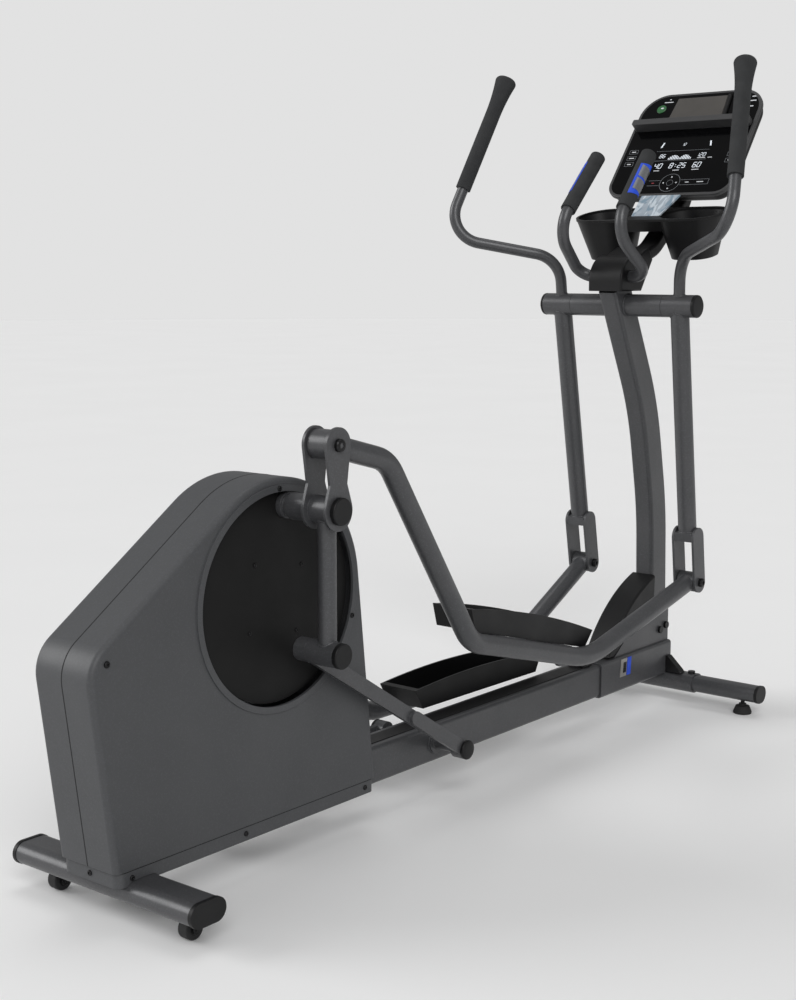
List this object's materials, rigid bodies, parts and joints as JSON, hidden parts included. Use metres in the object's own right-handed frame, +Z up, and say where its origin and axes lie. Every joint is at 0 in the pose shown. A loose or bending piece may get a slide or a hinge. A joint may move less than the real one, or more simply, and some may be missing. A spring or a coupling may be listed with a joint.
{
  "type": "elliptical trainer",
  "caption": "Rear-drive elliptical trainer: crank-driven pedal levers, swinging handles, fixed handlebar, tray and console.",
  "frame": {"origin": "centre of the footprint's bounding box, on the floor", "axes": "+Z up, +Y the way the user faces (towards the console), +X the user's right"},
  "size_m": [0.771, 2.1341, 1.5691],
  "materials": {
    "frame_paint": "satin",
    "shroud_plastic": "matte",
    "black_plastic": "matte",
    "grip_foam": "matte",
    "rubber": "matte",
    "wheel_rubber": "matte",
    "steel": "brushed",
    "black_steel": "satin",
    "cast_iron": "matte",
    "contact_steel": "brushed",
    "display_glass": "gloss",
    "panel_print": "satin"
  },
  "bodies": {
    "frame": {"main_rail": "frame_paint", "front_frame": "frame_paint", "column": "frame_paint", "column_boot": "black_plastic", "crossbar": "frame_paint", "crossbar_axle": "steel", "neck_cover": "black_plastic", "rear_stabiliser": "frame_paint", "front_stabiliser": "frame_paint", "stabiliser_caps": "black_plastic", "frame_bolts": "black_steel", "front_brackets": "black_steel", "wheel_forks": "black_steel", "rail_studs": "steel", "shroud_right": "shroud_plastic", "shroud_left": "shroud_plastic", "base_trim": "shroud_plastic", "shroud_screws": "black_plastic", "inner_frame": "steel", "crank_bearings": "steel", "drive_belt": "rubber", "flywheel_axle": "steel", "brake_magnets": "black_steel", "fixed_handlebar": "frame_paint", "fixed_grips": "grip_foam", "pulse_contacts": "contact_steel", "console_arm": "black_plastic", "console_back": "black_plastic", "console_bezel": "black_plastic", "display_panel": "display_glass", "tablet_ledge": "black_plastic", "accessory_tray": "black_plastic", "tray_panel": "panel_print"},
    "crank": {"crank_axle": "steel", "crank_arms": "steel", "crank_discs": "black_plastic", "drive_pulley": "black_plastic"},
    "flywheel": {"flywheel": "cast_iron"},
    "stroke_link_right": {"stroke_link_right": "frame_paint", "link_caps_right": "black_plastic"},
    "control_arm_right": {"control_arm_right": "frame_paint"},
    "pedal_lever_right": {"pedal_lever_right": "frame_paint", "pedal_right": "black_plastic"},
    "swing_arm_right": {"swing_arm_right": "frame_paint", "clevis_bolts_right": "black_steel", "handle_right": "frame_paint", "grip_right": "grip_foam"},
    "rear_wheel_right": {"rear_wheel_right": "wheel_rubber"},
    "front_foot_right": {"front_foot_right": "rubber"},
    "stroke_link_left": {"stroke_link_left": "frame_paint", "link_caps_left": "black_plastic"},
    "control_arm_left": {"control_arm_left": "frame_paint"},
    "pedal_lever_left": {"pedal_lever_left": "frame_paint", "pedal_left": "black_plastic"},
    "swing_arm_left": {"swing_arm_left": "frame_paint", "clevis_bolts_left": "black_steel", "handle_left": "frame_paint", "grip_left": "grip_foam"},
    "rear_wheel_left": {"rear_wheel_left": "wheel_rubber"},
    "front_foot_left": {"front_foot_left": "rubber"}
  },
  "joints": [
    {"name": "crank_turn", "type": "hinge", "parent": "frame", "child": "crank", "pos_m": [0, -0.623, 0.509], "axis": [-1, 0, 0], "range_deg": [0, 45]},
    {"name": "stroke_link_swing_right", "type": "hinge", "parent": "crank", "child": "stroke_link_right", "pos_m": [0.139, -0.59743, 0.67808], "axis": [-1, 0, 0], "range_deg": [-14.85, 0]},
    {"name": "control_arm_swing_right", "type": "hinge", "parent": "stroke_link_right", "child": "control_arm_right", "pos_m": [0.112, -0.59728, 0.41708], "axis": [-1, 0, 0], "range_deg": [-33.97, 0]},
    {"name": "pedal_lever_swing_right", "type": "hinge", "parent": "stroke_link_right", "child": "pedal_lever_right", "pos_m": [0.163, -0.59749, 0.79508], "axis": [-1, 0, 0], "range_deg": [-36.38, 0]},
    {"name": "swing_arm_swing_right", "type": "hinge", "parent": "frame", "child": "swing_arm_right", "pos_m": [0.163, 0.642, 1.012], "axis": [-1, 0, 0], "range_deg": [-18.93, 0]},
    {"name": "stroke_link_swing_left", "type": "hinge", "parent": "crank", "child": "stroke_link_left", "pos_m": [-0.139, -0.64857, 0.33992], "axis": [-1, 0, 0], "range_deg": [-70.03, 0]},
    {"name": "control_arm_swing_left", "type": "hinge", "parent": "stroke_link_left", "child": "control_arm_left", "pos_m": [-0.112, -0.684, 0.08134], "axis": [-1, 0, 0], "range_deg": [0, 32.85]},
    {"name": "pedal_lever_swing_left", "type": "hinge", "parent": "stroke_link_left", "child": "pedal_lever_left", "pos_m": [-0.163, -0.63269, 0.45584], "axis": [-1, 0, 0], "range_deg": [0, 27.99]},
    {"name": "swing_arm_swing_left", "type": "hinge", "parent": "frame", "child": "swing_arm_left", "pos_m": [-0.163, 0.642, 1.012], "axis": [-1, 0, 0], "range_deg": [0, 14.55]},
    {"name": "flywheel_spin", "type": "hinge", "parent": "frame", "child": "flywheel", "pos_m": [0, -0.878, 0.29], "axis": [-1, 0, 0], "range_deg": [0, 360]},
    {"name": "rear_wheel_spin_right", "type": "hinge", "parent": "frame", "child": "rear_wheel_right", "pos_m": [0.169, -0.949, 0.02], "axis": [1, 0, 0], "continuous": true},
    {"name": "front_foot_turn_right", "type": "hinge", "parent": "frame", "child": "front_foot_right", "pos_m": [0.249, 0.857, 0.01], "axis": [0, 0, 1], "continuous": true},
    {"name": "rear_wheel_spin_left", "type": "hinge", "parent": "frame", "child": "rear_wheel_left", "pos_m": [-0.169, -0.949, 0.02], "axis": [1, 0, 0], "continuous": true},
    {"name": "front_foot_turn_left", "type": "hinge", "parent": "frame", "child": "front_foot_left", "pos_m": [-0.249, 0.857, 0.01], "axis": [0, 0, 1], "continuous": true}
  ],
  "couplings": [
    {"joint": "stroke_link_swing_right", "follows": "crank_turn", "ratio": -0.32999},
    {"joint": "control_arm_swing_right", "follows": "crank_turn", "ratio": -0.75481},
    {"joint": "pedal_lever_swing_right", "follows": "crank_turn", "ratio": -0.80842},
    {"joint": "swing_arm_swing_right", "follows": "crank_turn", "ratio": -0.42051},
    {"joint": "stroke_link_swing_left", "follows": "crank_turn", "ratio": -1.5562},
    {"joint": "control_arm_swing_left", "follows": "crank_turn", "ratio": 0.7299},
    {"joint": "pedal_lever_swing_left", "follows": "crank_turn", "ratio": 0.6219},
    {"joint": "swing_arm_swing_left", "follows": "crank_turn", "ratio": 0.32315},
    {"joint": "flywheel_spin", "follows": "crank_turn", "ratio": 8}
  ]
}
